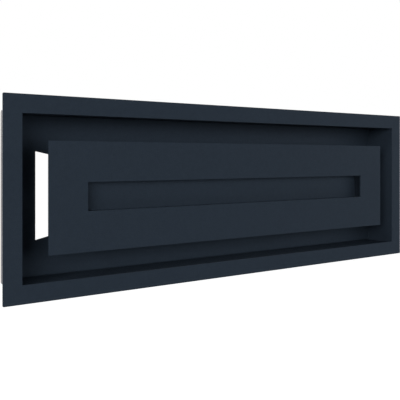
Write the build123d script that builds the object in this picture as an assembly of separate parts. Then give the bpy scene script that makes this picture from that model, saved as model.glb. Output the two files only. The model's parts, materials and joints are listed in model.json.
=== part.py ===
from build123d import *
from math import atan2, degrees, sqrt
import os

# Fireplace vent grille, in millimetres.
# A flat sheet-steel flange covers the edge of a wall opening. A folded box stands behind it, a plate
# with crossed straps closes the back of the box, and a slotted face panel floats in the middle on
# four stand-offs, so that warm air flows out all round it. The box slides into a mounting frame that
# is bedded in the wall, and four leaf springs on its sides hold it there.
# The origin is the centre of the flange's back face, which is the plane of the wall.
# +X runs along the grille to the right, +Y goes into the wall and +Z is up.

# Front flange
flange_width = 490.0
flange_height = 170.0
flange_border = 15.5
flange_sheet = 1.5
flange_corner = 0.8

# Folded box behind the flange
box_sheet = 1.5
wall_setback = 1.5
recess_depth = 38.0
bend_radius = 1.0
lip_reach = 12.0

# Back plate with its crossed straps
back_sheet = 1.5
window_margin = 24.0
strap_width = 12.5
window_corner = 0.4
end_slit = 0.2

# Face panel and its slot
air_gap = 22.0
panel_sheet = 1.5
panel_corner = 0.4
slot_margin = 35.0

# Channel that closes the slot from behind
channel_sheet = 1.0
channel_bend = 0.5
channel_recess = 9.0
channel_clearance = 0.5
channel_overrun = 1.5
channel_leg = 9.0

# Stand-offs, screws and washers that carry the panel
standoff_diameter = 10.0
standoff_chamfer = 0.3
thread_diameter = 4.0
thread_depth = 12.0
thread_clearance = 0.05
screw_hole = 4.5
screw_reach = 6.0
screw_point = 0.5
screw_head_flats = 7.0
screw_head_height = 2.8
screw_head_chamfer = 0.6
washer_diameter = 9.0
washer_bore = 4.3
washer_thickness = 0.8

# Mounting frame that is bedded in the wall
frame_gap = 1.5
frame_sheet = 1.0
frame_depth = 39.0
frame_bend = 1.0
lap_length = 16.0
anchor_width = 14.0
anchor_length = 22.0
anchor_slit = 0.8
anchor_setback = 8.0
anchor_spacing = 300.0

# Leaf springs on the sides of the box
spring_sheet = 0.4
spring_width = 12.0
spring_foot = 9.0
spring_span = 17.0
spring_toe = 2.0
spring_setback = 6.0
spring_spacing = 84.0
spring_clearance = 0.05

# Sizes that follow from the ones above
opening_width = flange_width - 2 * flange_border
opening_height = flange_height - 2 * flange_border
flange_front = -flange_sheet
inner_width = opening_width + 2 * wall_setback
inner_height = opening_height + 2 * wall_setback
outer_width = inner_width + 2 * box_sheet
outer_height = inner_height + 2 * box_sheet
outer_bend = bend_radius + box_sheet
back_front = flange_front + recess_depth
back_rear = back_front + back_sheet
box_rear = back_rear + box_sheet
lip_bend_start = back_rear - outer_bend
window_width = opening_width - 2 * window_margin
window_height = opening_height - 2 * window_margin
strap_slope = window_height / window_width
strap_angle = degrees(atan2(window_height, window_width))
panel_width = opening_width - 2 * air_gap
panel_height = opening_height - 2 * air_gap
panel_back = flange_front + panel_sheet
slot_width = panel_width - 2 * slot_margin
slot_height = panel_height - 2 * slot_margin
channel_inner = slot_height / 2 + channel_clearance
channel_outer = channel_inner + channel_sheet
channel_edge = channel_outer + channel_leg
web_front = panel_back + channel_recess
standoff_height = (channel_edge + panel_height / 2) / 2
standoff_side = standoff_height / strap_slope
frame_inner_width = outer_width + 2 * frame_gap
frame_inner_height = outer_height + 2 * frame_gap
frame_width = frame_inner_width + 2 * frame_sheet
frame_height = frame_inner_height + 2 * frame_sheet

SIDES = {"left": -1, "right": 1}
LEVELS = {"lower": -1, "upper": 1}


def wall_plane(depth):
    """A plane parallel to the wall, whose x is the part's X, whose y is Z, and which faces the room."""
    return Plane(origin=(0, depth, 0), x_dir=(1, 0, 0), z_dir=(0, -1, 0))


def sheet(outline, front, thickness):
    """A flat piece cut to outline, with its front face at the given depth."""
    return extrude(wall_plane(front + thickness) * outline, amount=thickness)


def cross_section(points, rounded):
    """A closed outline in depth and height, with the corners near the given points rounded."""
    outline = make_face(Plane.YZ * Polyline(*points, close=True))
    for place, radius in rounded:
        corner = Vector(0, *place)
        nearest = outline.vertices().sort_by_distance(corner)[0]
        outline = fillet(nearest, radius)
    return outline


def four_places(side, height):
    """Name, x and z of the four points that mirror each other about the middle."""
    places = []
    for level_name, level in LEVELS.items():
        for side_name, direction in SIDES.items():
            places.append((f"{level_name}_{side_name}", direction * side, level * height))
    return places


def front_flange():
    """Flat ring, cut from one sheet."""
    ring = RectangleRounded(flange_width, flange_height, flange_corner)
    ring -= Rectangle(opening_width, opening_height)
    return sheet(ring, flange_front, flange_sheet)


def rear_lip():
    """The upper wall's rear edge, bent down behind the back plate. It runs between the side walls."""
    inner = inner_height / 2
    outer = outer_height / 2
    lip_end = inner - lip_reach
    points = [
        (lip_bend_start, inner), (back_rear, inner), (back_rear, lip_end),
        (box_rear, lip_end), (box_rear, outer), (lip_bend_start, outer),
    ]
    rounded = [((back_rear, inner), bend_radius), ((box_rear, outer), outer_bend)]
    half_length = inner_width / 2 - outer_bend
    return extrude(cross_section(points, rounded), amount=half_length, both=True)


def box_shell():
    """Four walls folded from one strip. The long walls end in lips that carry the back plate."""
    walls = RectangleRounded(outer_width, outer_height, outer_bend)
    walls -= RectangleRounded(inner_width, inner_height, bend_radius)
    shell = sheet(walls, 0, box_rear)
    relief_depth = box_rear - lip_bend_start
    relief = Box(inner_width, relief_depth, 2 * relief_depth)
    for level in LEVELS.values():
        shell -= Pos(0, lip_bend_start + relief_depth / 2, level * outer_height / 2) * relief
    lip = rear_lip()
    shell += lip
    shell += mirror(lip, about=Plane.XY)
    return shell


def strap_windows():
    """The four openings between the crossed straps."""
    window = Rectangle(window_width, window_height)
    strap_length = window_width + window_height
    for angle in (strap_angle, -strap_angle):
        window -= Rot(0, 0, angle) * Rectangle(strap_length, strap_width)
    return fillet(window.vertices(), window_corner)


def back_plate():
    """Plate with crossed straps and a screw hole for each stand-off."""
    plate_width = inner_width - 2 * end_slit
    plate_height = inner_height - 2 * bend_radius
    outline = Rectangle(plate_width, plate_height) - strap_windows()
    for name, x, z in four_places(standoff_side, standoff_height):
        outline -= Pos(x, z) * Circle(screw_hole / 2)
    return sheet(outline, back_front, back_sheet)


def face_panel():
    """Flat slotted panel, flush with the front of the flange."""
    outline = RectangleRounded(panel_width, panel_height, panel_corner)
    outline -= Rectangle(slot_width, slot_height)
    return sheet(outline, flange_front, panel_sheet)


def slot_channel():
    """Hat-shaped strip, welded to the back of the panel by its legs and open at both ends."""
    leg_back = panel_back + channel_sheet
    web_back = web_front + channel_sheet
    half = [
        (panel_back, channel_inner), (panel_back, channel_edge), (leg_back, channel_edge),
        (leg_back, channel_outer), (web_back, channel_outer),
    ]
    lower_half = [(depth, -height) for depth, height in reversed(half)]
    points = [(web_front, channel_inner)] + half + lower_half + [(web_front, -channel_inner)]
    rounded = []
    for level in LEVELS.values():
        rounded.append(((web_front, level * channel_inner), channel_bend))
        rounded.append(((web_back, level * channel_outer), channel_bend + channel_sheet))
        rounded.append(((leg_back, level * channel_outer), channel_bend))
    half_length = slot_width / 2 + channel_overrun
    return extrude(cross_section(points, rounded), amount=half_length, both=True)


def round_bar(diameter, front, length):
    """A cylinder along the depth, with its front end at the given depth."""
    return sheet(Circle(diameter / 2), front, length)


def standoff():
    """Round post between the panel and the back plate, tapped from the rear."""
    post = round_bar(standoff_diameter, panel_back, back_front - panel_back)
    tapped = thread_diameter + 2 * thread_clearance
    post -= round_bar(tapped, back_front - thread_depth, thread_depth)
    rim = post.faces().sort_by(Axis.Y)[-1].outer_wire().edges()
    return chamfer(rim, standoff_chamfer)


def washer():
    """Flat washer behind the back plate."""
    return sheet(Circle(washer_diameter / 2) - Circle(washer_bore / 2), back_rear, washer_thickness)


def screw():
    """Hexagon-head screw, driven from the rear."""
    seat = back_rear + washer_thickness
    tip = back_front - screw_reach
    shank = round_bar(thread_diameter, tip, seat - tip)
    shank = chamfer(shank.faces().sort_by(Axis.Y)[0].edges(), screw_point)
    hexagon = RegularPolygon(screw_head_flats / 2, 6, major_radius=False)
    head = sheet(hexagon, seat, screw_head_height)
    across_corners = 2 * screw_head_flats / sqrt(3)
    turned = round_bar(across_corners, seat, screw_head_height)
    rim = turned.faces().sort_by(Axis.Y)[-1].edges()
    return shank + (head & chamfer(rim, screw_head_chamfer))


def anchor_slits():
    """U-shaped cuts for one bend-out wall anchor, drawn along the frame and its depth."""
    slit = Rectangle(anchor_width + 2 * anchor_slit, anchor_length + anchor_slit)
    tongue = Pos(0, anchor_slit / 2) * Rectangle(anchor_width, anchor_length)
    return slit - tongue


def mounting_frame():
    """Galvanised strip folded into a sleeve, with a lapped joint below and anchors cut in its walls."""
    ring = RectangleRounded(frame_width, frame_height, frame_bend + frame_sheet)
    ring -= RectangleRounded(frame_inner_width, frame_inner_height, frame_bend)
    frame = sheet(ring, 0, frame_depth)
    lap_inset = frame_sheet
    lap = Box(lap_length, frame_depth - 2 * lap_inset, frame_sheet)
    frame += Pos(0, frame_depth / 2, -(frame_height + frame_sheet) / 2) * lap
    cut_middle = anchor_setback + (anchor_length + anchor_slit) / 2
    for level in LEVELS.values():
        for direction in SIDES.values():
            place = Plane(origin=(direction * anchor_spacing / 2, cut_middle, level * frame_height / 2))
            cut = extrude(place * anchor_slits(), amount=2 * frame_sheet, both=True)
            frame -= cut
    return frame


def leaf_spring():
    """Arched strip for the right side: its foot is welded to the box and its toe slides on it."""
    wall = outer_width / 2
    crest = frame_gap - spring_clearance
    foot_start = spring_setback
    arch_start = foot_start + spring_foot
    arch_end = arch_start + spring_span
    arch_middle = (arch_start + arch_end) / 2
    outer_crest = wall + crest
    inner_crest = outer_crest - spring_sheet
    outer_line = wall + spring_sheet
    arch = make_face([
        ThreePointArc((wall, arch_start), (inner_crest, arch_middle), (wall, arch_end)),
        Line((wall, arch_end), (outer_line, arch_end)),
        ThreePointArc((outer_line, arch_end), (outer_crest, arch_middle), (outer_line, arch_start)),
        Line((outer_line, arch_start), (wall, arch_start)),
    ])
    foot_middle = foot_start + spring_foot / 2
    toe_middle = arch_end + spring_toe / 2
    leaf_middle = wall + spring_sheet / 2
    strip = arch + Pos(leaf_middle, foot_middle) * Rectangle(spring_sheet, spring_foot)
    strip += Pos(leaf_middle, toe_middle) * Rectangle(spring_sheet, spring_toe)
    return extrude(strip, amount=spring_width / 2, both=True)


def build_nodes():
    """Every separate piece, by its node name."""
    nodes = {
        "front_flange": front_flange(),
        "box_shell": box_shell(),
        "back_plate": back_plate(),
        "face_panel": face_panel(),
        "slot_channel": slot_channel(),
        "mounting_frame": mounting_frame(),
    }
    for name, x, z in four_places(standoff_side, standoff_height):
        place = Pos(x, 0, z)
        nodes[f"standoff_{name}"] = place * standoff()
        nodes[f"washer_{name}"] = place * washer()
        nodes[f"screw_{name}"] = place * screw()
    for level_name, level in LEVELS.items():
        right_spring = Pos(0, 0, level * spring_spacing / 2) * leaf_spring()
        nodes[f"spring_{level_name}_right"] = right_spring
        nodes[f"spring_{level_name}_left"] = mirror(right_spring, about=Plane.YZ)
    return nodes


os.makedirs("parts", exist_ok=True)
for node, shape in build_nodes().items():
    export_step(shape, f"parts/{node}.step")
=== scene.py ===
import json
import math

import bmesh
import bpy
from bpy.props import BoolProperty, FloatProperty, FloatVectorProperty, IntProperty, PointerProperty
from bpy.types import Operator, Panel, PropertyGroup
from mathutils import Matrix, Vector


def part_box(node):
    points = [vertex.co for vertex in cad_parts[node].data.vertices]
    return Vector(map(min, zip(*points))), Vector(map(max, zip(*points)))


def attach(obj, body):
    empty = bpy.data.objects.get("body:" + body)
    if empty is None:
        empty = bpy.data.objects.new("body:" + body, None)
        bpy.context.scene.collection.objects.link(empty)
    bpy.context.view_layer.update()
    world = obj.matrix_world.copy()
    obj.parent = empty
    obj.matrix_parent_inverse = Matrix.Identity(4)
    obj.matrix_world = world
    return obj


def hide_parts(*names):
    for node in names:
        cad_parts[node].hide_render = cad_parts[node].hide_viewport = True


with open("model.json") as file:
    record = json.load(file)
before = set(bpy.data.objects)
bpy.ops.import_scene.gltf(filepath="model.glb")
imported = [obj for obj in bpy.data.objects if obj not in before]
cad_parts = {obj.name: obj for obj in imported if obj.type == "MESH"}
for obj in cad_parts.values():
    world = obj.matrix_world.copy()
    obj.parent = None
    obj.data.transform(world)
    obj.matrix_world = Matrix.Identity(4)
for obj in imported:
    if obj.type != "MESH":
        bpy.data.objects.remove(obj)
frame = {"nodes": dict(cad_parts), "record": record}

bl_info = {
    "name": "Fireplace Vent Grille",
    "version": (1, 0, 0),
    "blender": (4, 5, 0),
    "location": "3D View > Sidebar > Grille",
    "description": "Dresses a framed steel vent grille with folded, welded and powder-coated sheet parts",
    "category": "Add Mesh",
}

MM = 0.001
BODY = "root"
CORNERS = ("upper_right", "upper_left", "lower_right", "lower_left")

# How finely curves are drawn, and how near two places are the same
CORNER_STEPS = 4
FOLD_STEPS = 5
ARCH_STEPS = 14
ROUND_STEPS = 48
WELD_STEPS = 12
SPOT_STEPS = 24
CLOSE = 0.002 * MM
BOX_SLACK = 0.05 * MM
SHARP_EDGE = math.radians(50)
SMOOTH_EDGE = math.radians(35)
FLAT_ANGLE = math.radians(0.5)
FACING_ROOM = (math.pi / 2, 0, 0)
FACING_RIGHT = (0, math.pi / 2, 0)
AXES = {
    "X": {"along": (1, 0, 0), "facing": FACING_RIGHT},
    "Y": {"along": (0, 1, 0), "facing": FACING_ROOM},
    "Z": {"along": (0, 0, 1), "facing": (0, 0, 0)},
}

# Places of the two colours among a Mix node's sockets
COLOUR_A = 6
COLOUR_B = 7

# Shares of a size
THIN_EDGE = 0.2
DRILL_POINT = 0.15
THREAD_SHARE = 0.54
HEAD_OVERLAP = 0.3
DISHED = 0.5
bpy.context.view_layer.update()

# The photograph is a square, and the camera stands level in front of the grille's left half
PHOTO_PIXELS = 400
SENSOR_WIDTH_MM = 36.0
LAMP_DISTANCE = 2.4


# Sizes of the real parts, read from the frame

def node_points(node):
    """Every vertex of a CAD node, in metres."""
    return [vertex.co for vertex in frame["nodes"][node].data.vertices]


def hole_size(node):
    """Width and height of the rectangular hole in the middle of a flat node."""
    points = node_points(node)
    half_width = min(abs(point.x) for point in points)
    half_height = min(abs(point.z) for point in points)
    return 2 * half_width, 2 * half_height


# Settings that a user would change

def length(millimetres, name, description):
    """A setting that is a length."""
    return FloatProperty(
        name=name, description=description, default=millimetres * MM, min=0.0, max=1.0,
        subtype="DISTANCE", unit="LENGTH", precision=5)


def watts(power, name, description):
    """A setting that is the power of a lamp."""
    return FloatProperty(name=name, description=description, default=power, min=0.0, unit="POWER")


class GrilleSheetSettings(PropertyGroup):
    edge_round: length(0.3, "Edge rounding", "Radius of the paint over a cut sheet edge")
    thin_round: length(0.15, "Thin edge rounding", "Radius at the edges of the thinner parts")
    edge_steps: IntProperty(
        name="Edge steps", description="Facets across each rounded edge", default=3, min=1, max=6)
    flange_corner: length(0.8, "Flange corner", "Radius of the flange's four corners")
    panel_corner: length(0.4, "Panel corner", "Radius of the panel's four corners")
    channel_sheet: length(1.0, "Channel sheet", "Thickness of the strip behind the slot")
    channel_bend: length(0.5, "Channel bend", "Inner radius of the strip's folds")
    channel_clearance: length(0.5, "Channel clearance", "How far the strip's walls stand back from the slot")
    spring_sheet: length(0.4, "Spring sheet", "Thickness of a leaf spring")
    spring_foot: length(9.0, "Spring foot", "Length of the flat end that is welded to the box")
    spring_toe: length(2.0, "Spring toe", "Length of the flat end that slides")
    post_chamfer: length(0.3, "Stand-off chamfer", "Chamfer at a stand-off's rear rim")
    thread_diameter: length(4.0, "Thread", "Outer diameter of the screws' thread")
    thread_pitch: length(0.7, "Thread pitch", "Distance from one thread crest to the next")
    thread_depth: length(12.0, "Thread depth", "How deep a stand-off is tapped")
    washer_clearance: length(0.15, "Washer clearance", "Gap between a washer and its screw")
    screw_point: length(0.5, "Screw point", "Length of the chamfer at a screw's end")
    head_chamfer: length(0.6, "Head chamfer", "How far a screw head's rim is cut back")
    bead_ripple: length(1.2, "Weld ripple", "Length of one ripple in a weld bead")
    stitch_length: length(13.0, "Stitch weld", "Length of one stitch weld")
    stitch_width: length(2.0, "Stitch width", "Thickness of one stitch weld")
    spot_diameter: length(5.0, "Spot weld", "Diameter of the mark that a spot weld leaves")
    box_sheet: length(1.5, "Box sheet", "Thickness of the folded box's walls")
    box_bend: length(1.0, "Box bend", "Inner radius of the folded box's corners")


class GrilleFinishSettings(PropertyGroup):
    paint_colour: FloatVectorProperty(
        name="Powder coat", description="Graphite colour of the powder coat",
        default=(0.0186, 0.0267, 0.0382), size=3, min=0.0, max=1.0, subtype="COLOR")
    paint_roughness: FloatProperty(
        name="Coat roughness", description="How matt the powder coat is",
        default=0.62, min=0.0, max=1.0, subtype="FACTOR")
    paint_gloss: FloatProperty(
        name="Coat gloss", description="Strength of the powder coat's own reflection",
        default=0.022, min=0.0, max=1.0, subtype="FACTOR")
    grain_size: FloatProperty(
        name="Grain size", description="Width of one grain in the coat's fine texture",
        default=0.7 * MM, min=0.1 * MM, max=3 * MM, subtype="DISTANCE", unit="LENGTH", precision=5)
    zinc_colour: FloatVectorProperty(
        name="Galvanised sheet", description="Colour of the hot-dip zinc on the mounting frame",
        default=(0.215, 0.217, 0.219), size=3, min=0.0, max=1.0, subtype="COLOR")
    spangle_size: FloatProperty(
        name="Spangle size", description="Width of one zinc crystal",
        default=7 * MM, min=1 * MM, max=30 * MM, subtype="DISTANCE", unit="LENGTH", precision=5)
    spring_colour: FloatVectorProperty(
        name="Spring steel", description="Colour of the rolled spring strip",
        default=(0.33, 0.34, 0.36), size=3, min=0.0, max=1.0, subtype="COLOR")
    screw_colour: FloatVectorProperty(
        name="Zinc plate", description="Colour of the screws and washers",
        default=(0.50, 0.51, 0.54), size=3, min=0.0, max=1.0, subtype="COLOR")


class GrilleStudioSettings(PropertyGroup):
    camera_side: FloatProperty(
        name="Camera sideways", description="Camera's place along the grille, from its middle",
        default=-389.0 * MM, subtype="DISTANCE", unit="LENGTH")
    camera_front: FloatProperty(
        name="Camera in front", description="Camera's distance in front of the wall plane",
        default=488.0 * MM, subtype="DISTANCE", unit="LENGTH")
    camera_height: FloatProperty(
        name="Camera height", description="Camera's height above the grille's middle",
        default=33.1 * MM, subtype="DISTANCE", unit="LENGTH")
    camera_turn: FloatProperty(
        name="Camera turn", description="How far the camera looks to the right of straight ahead",
        default=math.radians(34.41), subtype="ANGLE", unit="ROTATION")
    lens_pixels: FloatProperty(
        name="Lens", description="Focal length in pixels of the photograph", default=611.0)
    middle_column: FloatProperty(
        name="Middle column", description="Column of the photograph that lies straight ahead of the camera",
        default=200.5)
    horizon_row: FloatProperty(
        name="Horizon row", description="Row of the photograph that lies level with the camera",
        default=158.0)
    left_light: watts(39.0, "Left light", "Power of the wide soft box front left")
    high_light: watts(21.0, "High light", "Power of the soft box high on the left")
    low_light: watts(9.5, "Low light", "Power of the soft box low on the left")
    front_light: watts(6.0, "Front light", "Power of the soft box straight ahead")
    right_light: watts(23.0, "Right light", "Power of the wide soft box on the right")
    rear_light: watts(30.0, "Rear light", "Power of the soft box behind the wall plane")
    room_light: FloatProperty(
        name="Room light", description="Level of the light that comes from all round",
        default=0.08, min=0.0, max=1.0)
    floor_drop: FloatProperty(
        name="Floor drop", description="How far below the grille's middle the floor lies",
        default=0.9, subtype="DISTANCE", unit="LENGTH")
    show_floor: BoolProperty(name="Floor", description="Lay the pale floor", default=True)


def sheet_settings():
    return bpy.context.scene.grille_sheet


def finish_settings():
    return bpy.context.scene.grille_finish


def studio_settings():
    return bpy.context.scene.grille_studio


# Materials

class Value:
    """A socket in a material, with maths on it written as Python."""

    def __init__(self, shade, socket):
        self.shade = shade
        self.socket = socket

    def maths(self, operation, *others):
        return self.shade.add("ShaderNodeMath", {"operation": operation}, dict(enumerate((self, *others))))

    def __add__(self, other):
        return self.maths("ADD", other)

    def __radd__(self, other):
        return self.maths("ADD", other)

    def __sub__(self, other):
        return self.maths("SUBTRACT", other)

    def __rsub__(self, other):
        return self.shade.number(other).maths("SUBTRACT", self)

    def __mul__(self, other):
        return self.maths("MULTIPLY", other)

    def __rmul__(self, other):
        return self.maths("MULTIPLY", other)

    def spread(self, low, high):
        """Stretches the values between low and high to 0 to 1."""
        return self.shade.add(
            "ShaderNodeMapRange", {"clamp": True}, {"Value": self, "From Min": low, "From Max": high})

    def output(self, name):
        """Another output of the same node."""
        return Value(self.shade, self.socket.node.outputs[name])


class Shade:
    """A material, or the world, that is built node by node."""

    def __init__(self, owner):
        owner.use_nodes = True
        self.tree = owner.node_tree
        self.tree.nodes.clear()

    def add(self, kind, settings=None, inputs=None):
        """Adds a node, sets it up, fills its sockets and gives its first live output."""
        node = self.tree.nodes.new(kind)
        for name, setting in (settings or {}).items():
            if name == "stops":
                self.set_stops(node.color_ramp, setting)
            else:
                setattr(node, name, setting)
        for name, source in (inputs or {}).items():
            socket = node.inputs[name]
            if isinstance(source, Value):
                self.tree.links.new(source.socket, socket)
            else:
                socket.default_value = source
        live = [output for output in node.outputs if output.enabled]
        return Value(self, live[0]) if live else None

    def set_stops(self, ramp, stops):
        while len(ramp.elements) < len(stops):
            ramp.elements.new(0.5)
        for element, (place, level) in zip(ramp.elements, stops):
            element.position = place
            element.color = (level, level, level, 1.0)

    def number(self, level):
        return self.add("ShaderNodeMath", {"operation": "ADD"}, {0: level, 1: 0.0})

    def place(self):
        """The point's place on the part, in metres."""
        return self.add("ShaderNodeTexCoord").output("Object")

    def noise(self, grain, detail=2.0, stretch=(1.0, 1.0, 1.0)):
        """Soft random pattern, about 0 to 1, whose lumps are about one grain wide."""
        spot = self.add("ShaderNodeMapping", {"vector_type": "POINT"}, {"Vector": self.place(), "Scale": stretch})
        return self.add("ShaderNodeTexNoise", None, {"Vector": spot, "Scale": 1 / grain, "Detail": detail})

    def blend(self, factor, first, second):
        """A colour between two others."""
        colours = [tuple(colour) + (1.0,) if len(colour) == 3 else tuple(colour) for colour in (first, second)]
        inputs = {"Factor": factor, COLOUR_A: colours[0], COLOUR_B: colours[1]}
        return self.add("ShaderNodeMix", {"data_type": "RGBA"}, inputs)

    def bump(self, height, depth, strength):
        return self.add("ShaderNodeBump", None, {"Height": height, "Distance": depth, "Strength": strength})

    def surface(self, inputs):
        """Ends the material with one glossy surface."""
        body = self.add("ShaderNodeBsdfPrincipled", None, inputs)
        self.add("ShaderNodeOutputMaterial", None, {"Surface": body})


def scaled(colour, factor):
    return tuple(min(1.0, channel * factor) for channel in colour)


def new_material(name):
    material = bpy.data.materials.new(name)
    return material, Shade(material)


def powder_coat():
    """Matt graphite powder coat: fine pebbled grain, a slight orange peel and hardly any change of tone."""
    look = finish_settings()
    material, shade = new_material("graphite_powder_coat")
    grain = shade.noise(look.grain_size, detail=2.0).spread(0.35, 0.65)
    peel = shade.noise(look.grain_size * 6, detail=1.0).spread(0.3, 0.7)
    cloud = shade.noise(0.09, detail=2.0)
    tone = grain * 0.6 + peel * 0.2 + cloud * 0.2
    colour = shade.blend(tone, scaled(look.paint_colour, 0.84), scaled(look.paint_colour, 1.16))
    relief = grain * 0.7 + peel * 0.3
    shade.surface({
        "Base Color": colour,
        "Roughness": (1 - grain) * 0.16 + (look.paint_roughness - 0.08),
        "Specular IOR Level": look.paint_gloss,
        "Normal": shade.bump(relief, 0.08 * MM, 0.6),
    })
    return material


def galvanised_sheet():
    """Hot-dip zinc with crystal spangles and a thin dull film."""
    look = finish_settings()
    material, shade = new_material("spangled_zinc_sheet")
    crystal = shade.add("ShaderNodeTexVoronoi", {"feature": "F1"},
                        {"Vector": shade.place(), "Scale": 1 / look.spangle_size})
    facet = shade.add("ShaderNodeSeparateColor", None, {"Color": crystal.output("Color")})
    film = shade.noise(0.03, detail=4.0)
    tone = facet * 0.6 + film * 0.4
    shade.surface({
        "Base Color": shade.blend(tone, scaled(look.zinc_colour, 0.78), scaled(look.zinc_colour, 1.22)),
        "Metallic": 0.9,
        "Roughness": 0.36 + tone * 0.2,
        "Normal": shade.bump(film * 0.5 + facet * 0.5, 0.05 * MM, 0.15),
    })
    return material


def rolled_strip():
    """Spring steel with the fine lines of rolling along the strip."""
    look = finish_settings()
    material, shade = new_material("rolled_spring_steel")
    lines = shade.noise(0.4 * MM, detail=3.0, stretch=(1.0, 0.04, 1.0))
    shade.surface({
        "Base Color": shade.blend(lines, scaled(look.spring_colour, 0.85), scaled(look.spring_colour, 1.15)),
        "Metallic": 1.0,
        "Roughness": 0.26 + lines * 0.16,
        "Normal": shade.bump(lines, 0.02 * MM, 0.3),
    })
    return material


def bright_zinc():
    """Zinc plate on screws and washers, slightly blue and a little blotchy."""
    look = finish_settings()
    material, shade = new_material("bright_zinc_plate")
    blotch = shade.noise(2.5 * MM, detail=3.0)
    shade.surface({
        "Base Color": shade.blend(blotch, scaled(look.screw_colour, 0.88), scaled(look.screw_colour, 1.08)),
        "Metallic": 1.0,
        "Roughness": 0.22 + blotch * 0.14,
        "Normal": shade.bump(blotch, 0.02 * MM, 0.2),
    })
    return material


MAKERS = {
    "graphite_paint": powder_coat,
    "galvanised_sheet": galvanised_sheet,
    "spring_steel": rolled_strip,
    "zinc_fastener": bright_zinc,
}
finishes = {}


def finish_for(slot):
    if slot not in finishes:
        finishes[slot] = MAKERS[slot]()
    return finishes[slot]


def give_finish(piece, slot):
    """Puts the slot's one material on a piece."""
    piece.data.materials.clear()
    piece.data.materials.append(finish_for(slot))


def slot_of(node):
    for part in frame["record"]["subparts"]:
        if part["node"] == node:
            return part["material_slot"]
    raise RuntimeError(f"the record has no sub-part {node}")


# Modelling steps that several pieces share

def select_nothing():
    if bpy.context.mode != "OBJECT":
        bpy.ops.object.mode_set(mode="OBJECT")
    bpy.ops.object.select_all(action="DESELECT")


def pick(piece):
    select_nothing()
    piece.select_set(True)
    bpy.context.view_layer.objects.active = piece


def start_piece(name):
    """Names the primitive that was just added and moves its place into its mesh."""
    piece = bpy.context.object
    piece.name = name
    piece.data.name = name
    bpy.ops.object.transform_apply(location=True, rotation=True, scale=True)
    return piece


def edit(piece):
    """Opens a piece in edit mode with all of it selected."""
    pick(piece)
    bpy.ops.object.mode_set(mode="EDIT")
    bpy.ops.mesh.select_all(action="SELECT")


def choose(piece, kind, test):
    """In edit mode, selects the vertices or edges whose middle passes the test."""
    bpy.ops.mesh.select_mode(type=kind)
    bpy.ops.mesh.select_all(action="DESELECT")
    mesh = bmesh.from_edit_mesh(piece.data)
    if kind == "VERT":
        for vertex in mesh.verts:
            vertex.select_set(test(vertex.co))
    else:
        for edge in mesh.edges:
            edge.select_set(test((edge.verts[0].co + edge.verts[1].co) / 2))
    mesh.select_flush_mode()
    bmesh.update_edit_mesh(piece.data)


def same(first, second):
    return abs(first - second) < CLOSE


def extrude(step):
    """Extrudes what is selected along one step."""
    bpy.ops.mesh.extrude_region_move(TRANSFORM_OT_translate={"value": tuple(step)})


def outward(piece):
    """Merges doubles and turns every face outwards."""
    edit(piece)
    bpy.ops.mesh.remove_doubles(threshold=CLOSE)
    bpy.ops.mesh.normals_make_consistent(inside=False)
    if bmesh.from_edit_mesh(piece.data).calc_volume(signed=True) < 0:
        bpy.ops.mesh.flip_normals()
    bpy.ops.object.mode_set(mode="OBJECT")


def thicken(piece, sheet, offset):
    """Gives a folded surface its sheet thickness, along its faces' normals where offset is 1."""
    pick(piece)
    wall = piece.modifiers.new("sheet thickness", "SOLIDIFY")
    wall.thickness = sheet
    wall.offset = offset
    wall.use_even_offset = True
    bpy.ops.object.modifier_apply(modifier=wall.name)


def finish_edges(piece, radius):
    """Rounds every sharp edge a little and keeps the flat faces flat."""
    pick(piece)
    bevel = piece.modifiers.new("rounded edges", "BEVEL")
    bevel.width = radius
    bevel.segments = sheet_settings().edge_steps
    bevel.limit_method = "ANGLE"
    bevel.angle_limit = SHARP_EDGE
    bevel.use_clamp_overlap = True
    bpy.ops.object.modifier_apply(modifier=bevel.name)
    bpy.ops.object.shade_smooth_by_angle(angle=SMOOTH_EDGE)
    level = piece.modifiers.new("flat faces stay flat", "WEIGHTED_NORMAL")
    level.keep_sharp = True
    bpy.ops.object.modifier_apply(modifier=level.name)


def copy_piece(piece, name, move=(0, 0, 0), flip=(1, 1, 1)):
    """A copy with its own mesh, turned over where flip has a minus and then moved."""
    pick(piece)
    bpy.ops.object.duplicate(linked=False)
    copy = bpy.context.object
    copy.scale = flip
    copy.location = move
    start_piece(name)
    if flip[0] * flip[1] * flip[2] < 0:
        outward(copy)
        bpy.ops.object.shade_smooth_by_angle(angle=SMOOTH_EDGE)
    return copy


def join(pieces, name):
    """Makes one piece of several."""
    pick(pieces[0])
    for piece in pieces[1:]:
        piece.select_set(True)
    bpy.ops.object.join()
    return start_piece(name)


def same_box(piece, node):
    """Stops if a piece doesn't fill the box of its node."""
    low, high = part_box(node)
    for axis in range(3):
        values = [vertex.co[axis] for vertex in piece.data.vertices]
        if abs(min(values) - low[axis]) > BOX_SLACK or abs(max(values) - high[axis]) > BOX_SLACK:
            raise RuntimeError(f"{piece.name} leaves the box of {node} along axis {axis}")


def place_piece(piece, node):
    """Lets a finished piece stand for its CAD node, with the node's body and finish."""
    same_box(piece, node)
    select_nothing()
    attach(piece, BODY)
    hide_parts(node)
    add_finish(piece, slot_of(node))


def place_detail(piece, slot):
    """Gives a finished detail that no CAD node stands for its body and finish."""
    select_nothing()
    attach(piece, BODY)
    add_finish(piece, slot)


def add_finish(piece, slot):
    give_finish(piece, slot)


def upright_plane(name, width, height, middle):
    """A rectangle parallel to the wall that faces the room."""
    select_nothing()
    bpy.ops.mesh.primitive_plane_add(size=1, location=middle, rotation=FACING_ROOM)
    bpy.context.object.scale = (width, height, 1)
    return start_piece(name)


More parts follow.
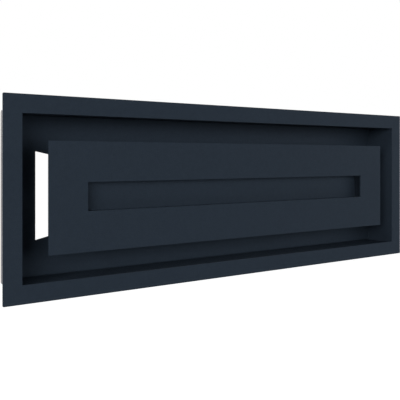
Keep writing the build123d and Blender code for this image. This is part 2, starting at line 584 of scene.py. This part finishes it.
def cut_ring(name, node, corner):
    """A flat sheet with one rectangular hole, at the place of its node."""
    low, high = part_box(node)
    hole_width, hole_height = hole_size(node)
    width, height = high.x - low.x, high.z - low.z
    piece = upright_plane(name, width, height, (0, low.y, 0))
    edit(piece)
    bpy.ops.mesh.inset(thickness=(width - hole_width) / 2)
    bpy.ops.mesh.delete(type="FACE")
    choose(piece, "VERT", lambda spot: same(abs(spot.x), width / 2))
    bpy.ops.mesh.bevel(offset=corner, affect="VERTICES", segments=CORNER_STEPS)
    bpy.ops.mesh.select_all(action="SELECT")
    extrude((0, high.y - low.y, 0))
    bpy.ops.object.mode_set(mode="OBJECT")
    outward(piece)
    finish_edges(piece, sheet_settings().edge_round)
    place_piece(piece, node)


def softened(name, node, radius):
    """A merged copy of a folded CAD node, with its flats made whole and its cut edges rounded."""
    piece = bpy.data.objects.new(name, frame["nodes"][node].data.copy())
    bpy.context.scene.collection.objects.link(piece)
    edit(piece)
    bpy.ops.mesh.remove_doubles(threshold=CLOSE)
    bpy.ops.mesh.dissolve_limited(angle_limit=FLAT_ANGLE)
    bpy.ops.object.mode_set(mode="OBJECT")
    finish_edges(piece, radius)
    place_piece(piece, node)


def turned(name, middle, axis, profile, corners):
    """A round piece: its first ring is extruded to each radius and distance along its axis in turn.

    A profile that comes back to its first point makes a tube, and any other is closed at both ends.
    """
    select_nothing()
    (radius, distance), *others = profile
    along = Vector(AXES[axis]["along"])
    bpy.ops.mesh.primitive_circle_add(
        vertices=corners, radius=radius, location=Vector(middle) + along * distance,
        rotation=AXES[axis]["facing"])
    piece = start_piece(name)
    edit(piece)
    for next_radius, next_distance in others:
        extrude(along * (next_distance - distance))
        growth = next_radius / radius
        scale = tuple(1 if direction else growth for direction in along)
        bpy.ops.transform.resize(value=scale, center_override=Vector(middle) + along * next_distance)
        radius, distance = next_radius, next_distance
    bpy.ops.mesh.select_all(action="SELECT")
    bpy.ops.mesh.remove_doubles(threshold=CLOSE)
    bpy.ops.mesh.fill_holes(sides=0)
    bpy.ops.object.mode_set(mode="OBJECT")
    outward(piece)
    bpy.ops.object.shade_smooth_by_angle(angle=SMOOTH_EDGE)
    return piece


def place_corners(make, kind, node_kind):
    """Models one piece for the upper right corner and copies it to all four."""
    low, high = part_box(f"{node_kind}_upper_right")
    middle = (low + high) / 2
    first = make(f"{kind}_upper_right", low, high)
    for corner in CORNERS:
        node = f"{node_kind}_{corner}"
        if corner == "upper_right":
            piece = first
        else:
            other_low, other_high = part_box(node)
            piece = copy_piece(first, f"{kind}_{corner}", move=(other_low + other_high) / 2 - middle)
        place_piece(piece, node)


# One operator for each piece or group of like pieces

class GRILLE_OT_flange(Operator):
    """Cuts the flat ring that covers the edge of the wall opening"""
    bl_idname = "grille.flange"
    bl_label = "Front Flange"

    def execute(self, context):
        cut_ring("flange_ring", "front_flange", sheet_settings().flange_corner)
        return {"FINISHED"}


class GRILLE_OT_panel(Operator):
    """Cuts the slotted panel that floats in the middle"""
    bl_idname = "grille.panel"
    bl_label = "Face Panel"

    def execute(self, context):
        cut_ring("slotted_panel", "face_panel", sheet_settings().panel_corner)
        return {"FINISHED"}


class GRILLE_OT_channel(Operator):
    """Folds the strip that closes the slot from behind, leg by leg"""
    bl_idname = "grille.channel"
    bl_label = "Slot Channel"

    def execute(self, context):
        sizes = sheet_settings()
        low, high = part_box("slot_channel")
        inner = hole_size("face_panel")[1] / 2 + sizes.channel_clearance
        leg = high.z - inner
        depth = high.y - low.y - sizes.channel_sheet
        piece = upright_plane("pressed_channel", high.x - low.x, leg, (0, low.y, high.z - leg / 2))
        edit(piece)
        choose(piece, "EDGE", lambda spot: same(spot.x, 0) and same(spot.z, inner))
        for step in ((0, depth, 0), (0, 0, -2 * inner), (0, -depth, 0), (0, 0, -leg)):
            extrude(step)
        for fold, radius in ((low.y + depth, sizes.channel_bend),
                             (low.y, sizes.channel_bend + sizes.channel_sheet)):
            choose(piece, "EDGE", lambda spot: same(spot.x, 0) and same(spot.y, fold) and same(abs(spot.z), inner))
            bpy.ops.mesh.bevel(offset=radius, segments=FOLD_STEPS, affect="EDGES")
        bpy.ops.object.mode_set(mode="OBJECT")
        thicken(piece, sizes.channel_sheet, -1)
        outward(piece)
        finish_edges(piece, sizes.channel_sheet * THIN_EDGE)
        place_piece(piece, "slot_channel")
        return {"FINISHED"}


class GRILLE_OT_box(Operator):
    """Rounds the cut edges of the folded box and of the plate with crossed straps"""
    bl_idname = "grille.box"
    bl_label = "Box and Back Plate"

    def execute(self, context):
        radius = sheet_settings().edge_round
        softened("folded_box", "box_shell", radius)
        softened("strapped_plate", "back_plate", radius)
        return {"FINISHED"}


class GRILLE_OT_frame(Operator):
    """Rounds the cut edges of the galvanised mounting frame"""
    bl_idname = "grille.frame"
    bl_label = "Mounting Frame"

    def execute(self, context):
        softened("galvanised_frame", "mounting_frame", sheet_settings().thin_round)
        return {"FINISHED"}


class GRILLE_OT_springs(Operator):
    """Bends one leaf spring and copies it to both sides of the box"""
    bl_idname = "grille.springs"
    bl_label = "Leaf Springs"

    def execute(self, context):
        sizes = sheet_settings()
        low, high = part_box("spring_upper_right")
        middle = (low.z + high.z) / 2
        toe = high.y - sizes.spring_toe
        arch_start = low.y + sizes.spring_foot
        rise = high.x - low.x - sizes.spring_sheet
        select_nothing()
        foot_middle = (low.x, (low.y + arch_start) / 2, middle)
        bpy.ops.mesh.primitive_plane_add(size=1, location=foot_middle, rotation=FACING_RIGHT)
        bpy.context.object.scale = (high.z - low.z, sizes.spring_foot, 1)
        first = start_piece("spring_leaf_upper_right")
        edit(first)
        choose(first, "EDGE", lambda spot: same(spot.y, arch_start))
        place = Vector((low.x, arch_start, 0))
        for step in range(1, ARCH_STEPS + 1):
            share = step / ARCH_STEPS
            bow = 4 * rise * share * (1 - share)
            target = Vector((low.x + bow, arch_start + share * (toe - arch_start), 0))
            extrude(target - place)
            place = target
        extrude((0, sizes.spring_toe, 0))
        bpy.ops.object.mode_set(mode="OBJECT")
        thicken(first, sizes.spring_sheet, 1)
        outward(first)
        finish_edges(first, sizes.spring_sheet * THIN_EDGE)
        span = 2 * middle
        turned_over = copy_piece(first, "spring_leaf_upper_left", flip=(-1, 1, 1))
        lower_right = copy_piece(first, "spring_leaf_lower_right", move=(0, 0, -span))
        lower_left = copy_piece(turned_over, "spring_leaf_lower_left", move=(0, 0, -span))
        leaves = {"upper_right": first, "upper_left": turned_over,
                  "lower_right": lower_right, "lower_left": lower_left}
        for corner, leaf in leaves.items():
            place_piece(leaf, f"spring_{corner}")
        return {"FINISHED"}


def welded_post(name, low, high):
    """Stand-off with a tapped hole and a chamfered rear rim. Its weld fillet is laid with the other welds."""
    sizes = sheet_settings()
    radius = (high.x - low.x) / 2
    length = high.y - low.y
    bore = sizes.thread_diameter / 2
    chamfer = sizes.post_chamfer
    profile = [
        (radius, 0), (radius, length - chamfer), (radius - chamfer, length), (bore + chamfer, length),
        (bore, length - chamfer), (bore, length - sizes.thread_depth), (bore * DRILL_POINT, length - 1.1 * sizes.thread_depth),
    ]
    return turned(name, ((low.x + high.x) / 2, low.y, (low.z + high.z) / 2), "Y", profile, ROUND_STEPS)


def flat_washer(name, low, high):
    """Stamped washer with its edges a little rounded."""
    sizes = sheet_settings()
    radius = (high.x - low.x) / 2
    thickness = high.y - low.y
    bore = sizes.thread_diameter / 2 + sizes.washer_clearance
    profile = [(radius, 0), (radius, thickness), (bore, thickness), (bore, 0), (radius, 0)]
    piece = turned(name, ((low.x + high.x) / 2, low.y, (low.z + high.z) / 2), "Y", profile, ROUND_STEPS)
    finish_edges(piece, thickness * THIN_EDGE)
    return piece


def threaded_profile(length, radius, pitch, point):
    """Radius and distance along a screw's shank, from its point to its head: crest, root, crest."""
    root = radius - THREAD_SHARE * pitch
    profile = [(root - point / 2, 0), (root, point)]
    for turn in range(int((length - 2 * point) / pitch)):
        start = point + turn * pitch
        profile += [(radius, start + 0.4 * pitch), (radius, start + 0.55 * pitch), (root, start + 0.95 * pitch)]
    return profile + [(radius, length)]


def hexagon_screw(name, low, high):
    """Hexagon head with its rim cut back, and a shank with its thread."""
    sizes = sheet_settings()
    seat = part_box("washer_upper_right")[1].y
    middle = ((low.x + high.x) / 2, low.y, (low.z + high.z) / 2)
    into_head = HEAD_OVERLAP * (high.y - seat)
    profile = threaded_profile(
        seat - low.y + into_head, sizes.thread_diameter / 2, sizes.thread_pitch, sizes.screw_point)
    shank = turned(f"{name}_shank", middle, "Y", profile, ROUND_STEPS // 2)
    corner = max(high.x - low.x, high.z - low.z) / 2
    rim = sizes.head_chamfer
    head_profile = [
        (corner, seat - low.y), (corner, high.y - low.y - rim / 2), (corner - rim, high.y - low.y),
        (corner * DISHED, high.y - low.y), (corner * DISHED * 0.9, high.y - low.y - rim / 3),
    ]
    head = turned(f"{name}_head", middle, "Y", head_profile, 6)
    if high.x - low.x > high.z - low.z:
        edit(head)
        bpy.ops.transform.rotate(value=math.pi / 6, orient_axis="Y", center_override=middle)
        bpy.ops.object.mode_set(mode="OBJECT")
    finish_edges(head, sizes.thin_round)
    return join([head, shank], name)


class GRILLE_OT_fasteners(Operator):
    """Turns the stand-offs, the washers and the threaded screws"""
    bl_idname = "grille.fasteners"
    bl_label = "Stand-offs and Screws"

    def execute(self, context):
        place_corners(welded_post, "post", "standoff")
        place_corners(flat_washer, "flat_washer", "washer")
        place_corners(hexagon_screw, "hexagon_screw", "screw")
        return {"FINISHED"}


def bead_profile(length, radius):
    """Weld bead: rippled along its length and closed down at both ends."""
    steps = 2 * max(3, round(length / sheet_settings().bead_ripple))
    profile = []
    for step in range(steps + 1):
        share = step / steps
        swell = math.sqrt(1.08 - (2 * share - 1) ** 6)
        ripple = 1.0 if step % 2 else 0.88
        profile.append((radius * swell * ripple, length * (share - 0.5)))
    return profile


def spot_profile(radius, outward_sign):
    """Mark of a spot weld: a low ring with a shallow dish in it."""
    points = ((1.0, -0.2), (1.0, 0.06), (0.9, 0.2), (0.75, 0.24), (0.56, 0.1), (0.2, 0.04))
    return [(radius * share, outward_sign * height * MM) for share, height in points]


def repeat_detail(name, axis, profile, corners, places, slot):
    """Models a turned detail at the first place, copies it to the others and joins them all."""
    first_place, *others = [Vector(place) for place in places]
    first = turned(name, first_place, axis, profile, corners)
    copies = [copy_piece(first, name, move=place - first_place) for place in others]
    place_detail(join([first, *copies], name), slot)


class GRILLE_OT_welds(Operator):
    """Lays the stitch welds, the corner welds and the spot-weld marks"""
    bl_idname = "grille.welds"
    bl_label = "Welds"

    def execute(self, context):
        sizes = sheet_settings()
        box_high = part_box("box_shell")[1]
        channel_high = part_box("slot_channel")[1]
        flange_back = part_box("front_flange")[1].y
        radius = sizes.stitch_width / 2
        stitch = bead_profile(sizes.stitch_length, radius)
        legs = [(x * channel_high.x, flange_back, z * channel_high.z)
                for x in (-0.87, -0.29, 0.29, 0.87) for z in (-1, 1)]
        repeat_detail("channel_welds", "X", stitch, WELD_STEPS, legs, "graphite_paint")
        long_walls = [(x * box_high.x, flange_back, z * box_high.z)
                      for x in (-0.85, -0.51, -0.17, 0.17, 0.51, 0.85) for z in (-1, 1)]
        repeat_detail("long_wall_welds", "X", stitch, WELD_STEPS, long_walls, "graphite_paint")
        short_walls = [(x * box_high.x, flange_back, 0) for x in (-1, 1)]
        repeat_detail("short_wall_welds", "Z", stitch, WELD_STEPS, short_walls, "graphite_paint")
        notch = sizes.box_sheet + sizes.box_bend
        corner = bead_profile(1.2 * notch, 1.1 * sizes.box_bend)
        notches = [(x * (box_high.x - sizes.box_sheet - notch / 2), box_high.y - sizes.box_sheet,
                    z * (box_high.z - sizes.box_sheet - 0.2 * sizes.box_bend))
                   for x in (-1, 1) for z in (-1, 1)]
        repeat_detail("corner_welds", "X", corner, WELD_STEPS, notches, "graphite_paint")
        self.ring_posts(flange_back)
        self.mark_spots(box_high)
        return {"FINISHED"}

    def ring_posts(self, panel_back):
        """A weld fillet round the foot of each stand-off."""
        leg = sheet_settings().stitch_width / 2
        places = []
        for corner in CORNERS:
            low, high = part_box(f"standoff_{corner}")
            places.append(((low.x + high.x) / 2, panel_back, (low.z + high.z) / 2))
        post = (high.x - low.x) / 2
        fillet = [(post - 0.1 * leg, 0), (post + leg, 0), (post + 0.4 * leg, 0.35 * leg), (post + 0.1 * leg, leg),
                  (post - 0.1 * leg, 1.1 * leg), (post - 0.1 * leg, 0)]
        repeat_detail("post_welds", "Y", fillet, ROUND_STEPS, places, "graphite_paint")

    def mark_spots(self, box_high):
        """Spot-weld marks on the rear lips, on the springs' feet and on the frame's lapped joint."""
        sizes = sheet_settings()
        radius = sizes.spot_diameter / 2
        plate_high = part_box("back_plate")[1]
        lip_middle = plate_high.z - radius - sizes.box_sheet
        lips = [(x * box_high.x, box_high.y, z * lip_middle)
                for x in (-0.88, -0.44, 0, 0.44, 0.88) for z in (-1, 1)]
        repeat_detail("lip_spot_welds", "Y", spot_profile(radius, 1), SPOT_STEPS, lips, "graphite_paint")
        spring_low, spring_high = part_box("spring_upper_right")
        spring_middle = (spring_low.z + spring_high.z) / 2
        outer = spring_low.x + sizes.spring_sheet
        for side_name, side in (("left", -1), ("right", 1)):
            feet = [(side * outer, spring_low.y + sizes.spring_foot / 2, level * spring_middle + place)
                    for level in (-1, 1) for place in (-radius, radius)]
            repeat_detail(f"spring_spot_welds_{side_name}", "X", spot_profile(0.7 * radius, side), SPOT_STEPS,
                          feet, "spring_steel")
        frame_low, frame_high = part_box("mounting_frame")
        lap = [(0, share * frame_high.y, frame_low.z) for share in (0.2, 0.5, 0.8)]
        repeat_detail("lap_spot_welds", "Z", spot_profile(radius, -1), SPOT_STEPS, lap, "galvanised_sheet")


class GRILLE_OT_finish_nodes(Operator):
    """Gives every remaining part of the frame its own finish"""
    bl_idname = "grille.finish_nodes"
    bl_label = "Part Finishes"

    def execute(self, context):
        for node, part in frame["nodes"].items():
            give_finish(part, slot_of(node))
        return {"FINISHED"}


def look_from(settings):
    """The camera at the photograph's place: level, turned to the right, with the view slid downwards."""
    data = bpy.data.cameras.new("photo_camera")
    data.sensor_width = SENSOR_WIDTH_MM
    data.sensor_fit = "HORIZONTAL"
    data.lens = settings.lens_pixels / PHOTO_PIXELS * SENSOR_WIDTH_MM
    data.shift_x = (PHOTO_PIXELS / 2 - settings.middle_column) / PHOTO_PIXELS
    data.shift_y = (settings.horizon_row - PHOTO_PIXELS / 2) / PHOTO_PIXELS
    data.clip_start = 0.01
    data.clip_end = 100.0
    data.dof.use_dof = False
    camera = bpy.data.objects.new("photo_camera", data)
    bpy.context.scene.collection.objects.link(camera)
    camera.location = (settings.camera_side, -settings.camera_front, settings.camera_height)
    camera.rotation_euler = (math.pi / 2, 0, -settings.camera_turn)
    bpy.context.scene.camera = camera


def soft_box(name, azimuth, elevation, size, power):
    """A lamp that faces the grille. Azimuth 0 is straight in front, positive to the right."""
    data = bpy.data.lights.new(name, "AREA")
    data.shape = "RECTANGLE"
    data.size, data.size_y = size
    data.energy = power
    lamp = bpy.data.objects.new(name, data)
    bpy.context.scene.collection.objects.link(lamp)
    turn, rise = math.radians(azimuth), math.radians(elevation)
    level = LAMP_DISTANCE * math.cos(rise)
    lamp.location = (level * math.sin(turn), -level * math.cos(turn), LAMP_DISTANCE * math.sin(rise))
    lamp.rotation_euler = (-Vector(lamp.location)).to_track_quat("-Z", "Y").to_euler()


def seen_directly(shade):
    """1 where the camera, a reflection or a see-through part looks straight at a surface."""
    path = shade.add("ShaderNodeLightPath")
    seen = path.maths("MAXIMUM", path.output("Is Glossy Ray"))
    return seen.maths("MAXIMUM", path.output("Is Transmission Ray"))


def white_room(level):
    """World: white where it is seen, and a dim even light on everything else."""
    world = bpy.data.worlds.new("white_room")
    bpy.context.scene.world = world
    shade = Shade(world)
    dim = shade.add("ShaderNodeBackground", None, {"Color": (1, 1, 1, 1), "Strength": level})
    white = shade.add("ShaderNodeBackground", None, {"Color": (1, 1, 1, 1), "Strength": 1.0})
    seen = seen_directly(shade)
    both = shade.add("ShaderNodeMixShader", None, {0: seen, 1: dim, 2: white})
    shade.add("ShaderNodeOutputWorld", None, {"Surface": both})


def pale_floor(drop):
    """Wide pale floor far below. It catches the shadow and reads as white where it is seen."""
    select_nothing()
    bpy.ops.mesh.primitive_plane_add(size=16.0, location=(0, 0, -drop))
    floor = start_piece("pale_floor")
    material, shade = new_material("pale_floor")
    matt = shade.add("ShaderNodeBsdfDiffuse", None, {"Color": (0.42, 0.42, 0.42, 1)})
    pale = shade.add("ShaderNodeBsdfDiffuse", None, {"Color": (0.6, 0.6, 0.6, 1)})
    glow = shade.add("ShaderNodeEmission", None, {"Color": (1, 1, 1, 1), "Strength": 0.96})
    bright = shade.add("ShaderNodeAddShader", None, {0: pale, 1: glow})
    both = shade.add("ShaderNodeMixShader", None, {0: seen_directly(shade), 1: matt, 2: bright})
    shade.add("ShaderNodeOutputMaterial", None, {"Surface": both})
    floor.data.materials.append(material)


class GRILLE_OT_stage(Operator):
    """Sets up the camera, the lamps, the white room and the pale floor"""
    bl_idname = "grille.stage"
    bl_label = "Studio"

    def execute(self, context):
        settings = studio_settings()
        look_from(settings)
        soft_box("left_soft_box", -48, 10, (1.6, 0.8), settings.left_light)
        soft_box("high_soft_box", -80, 50, (1.0, 1.0), settings.high_light)
        soft_box("low_soft_box", -65, -30, (1.0, 1.0), settings.low_light)
        soft_box("front_soft_box", 14, 4, (1.0, 0.8), settings.front_light)
        soft_box("right_soft_box", 52, 5, (2.0, 0.8), settings.right_light)
        soft_box("rear_soft_box", 180, 25, (1.6, 1.6), settings.rear_light)
        white_room(settings.room_light)
        if settings.show_floor:
            pale_floor(settings.floor_drop)
        context.scene.view_settings.view_transform = "Standard"
        return {"FINISHED"}


STEPS = (
    GRILLE_OT_stage,
    GRILLE_OT_flange,
    GRILLE_OT_panel,
    GRILLE_OT_channel,
    GRILLE_OT_box,
    GRILLE_OT_frame,
    GRILLE_OT_springs,
    GRILLE_OT_fasteners,
    GRILLE_OT_welds,
    GRILLE_OT_finish_nodes,
)


class GRILLE_PT_panel(Panel):
    """Lists every step of the grille in the sidebar"""
    bl_idname = "GRILLE_PT_panel"
    bl_label = "Fireplace Vent Grille"
    bl_space_type = "VIEW_3D"
    bl_region_type = "UI"
    bl_category = "Grille"

    def draw(self, context):
        scene = context.scene
        for title, group in (("Sheet", scene.grille_sheet), ("Finish", scene.grille_finish),
                             ("Studio", scene.grille_studio)):
            box = self.layout.box()
            box.label(text=title)
            for name in group.bl_rna.properties.keys():
                if name not in ("rna_type", "name"):
                    box.prop(group, name)
        for step in STEPS:
            self.layout.operator(step.bl_idname)


GROUPS = {
    "grille_sheet": GrilleSheetSettings,
    "grille_finish": GrilleFinishSettings,
    "grille_studio": GrilleStudioSettings,
}


def register():
    for settings in GROUPS.values():
        bpy.utils.register_class(settings)
    for name, settings in GROUPS.items():
        setattr(bpy.types.Scene, name, PointerProperty(type=settings))
    for step in STEPS:
        bpy.utils.register_class(step)
    bpy.utils.register_class(GRILLE_PT_panel)


def unregister():
    bpy.utils.unregister_class(GRILLE_PT_panel)
    for step in reversed(STEPS):
        bpy.utils.unregister_class(step)
    for name in GROUPS:
        delattr(bpy.types.Scene, name)
    for settings in GROUPS.values():
        bpy.utils.unregister_class(settings)


def main():
    register()
    for step in STEPS:
        group, name = step.bl_idname.split(".")
        getattr(getattr(bpy.ops, group), name)()


if __name__ == "__main__":
    main()
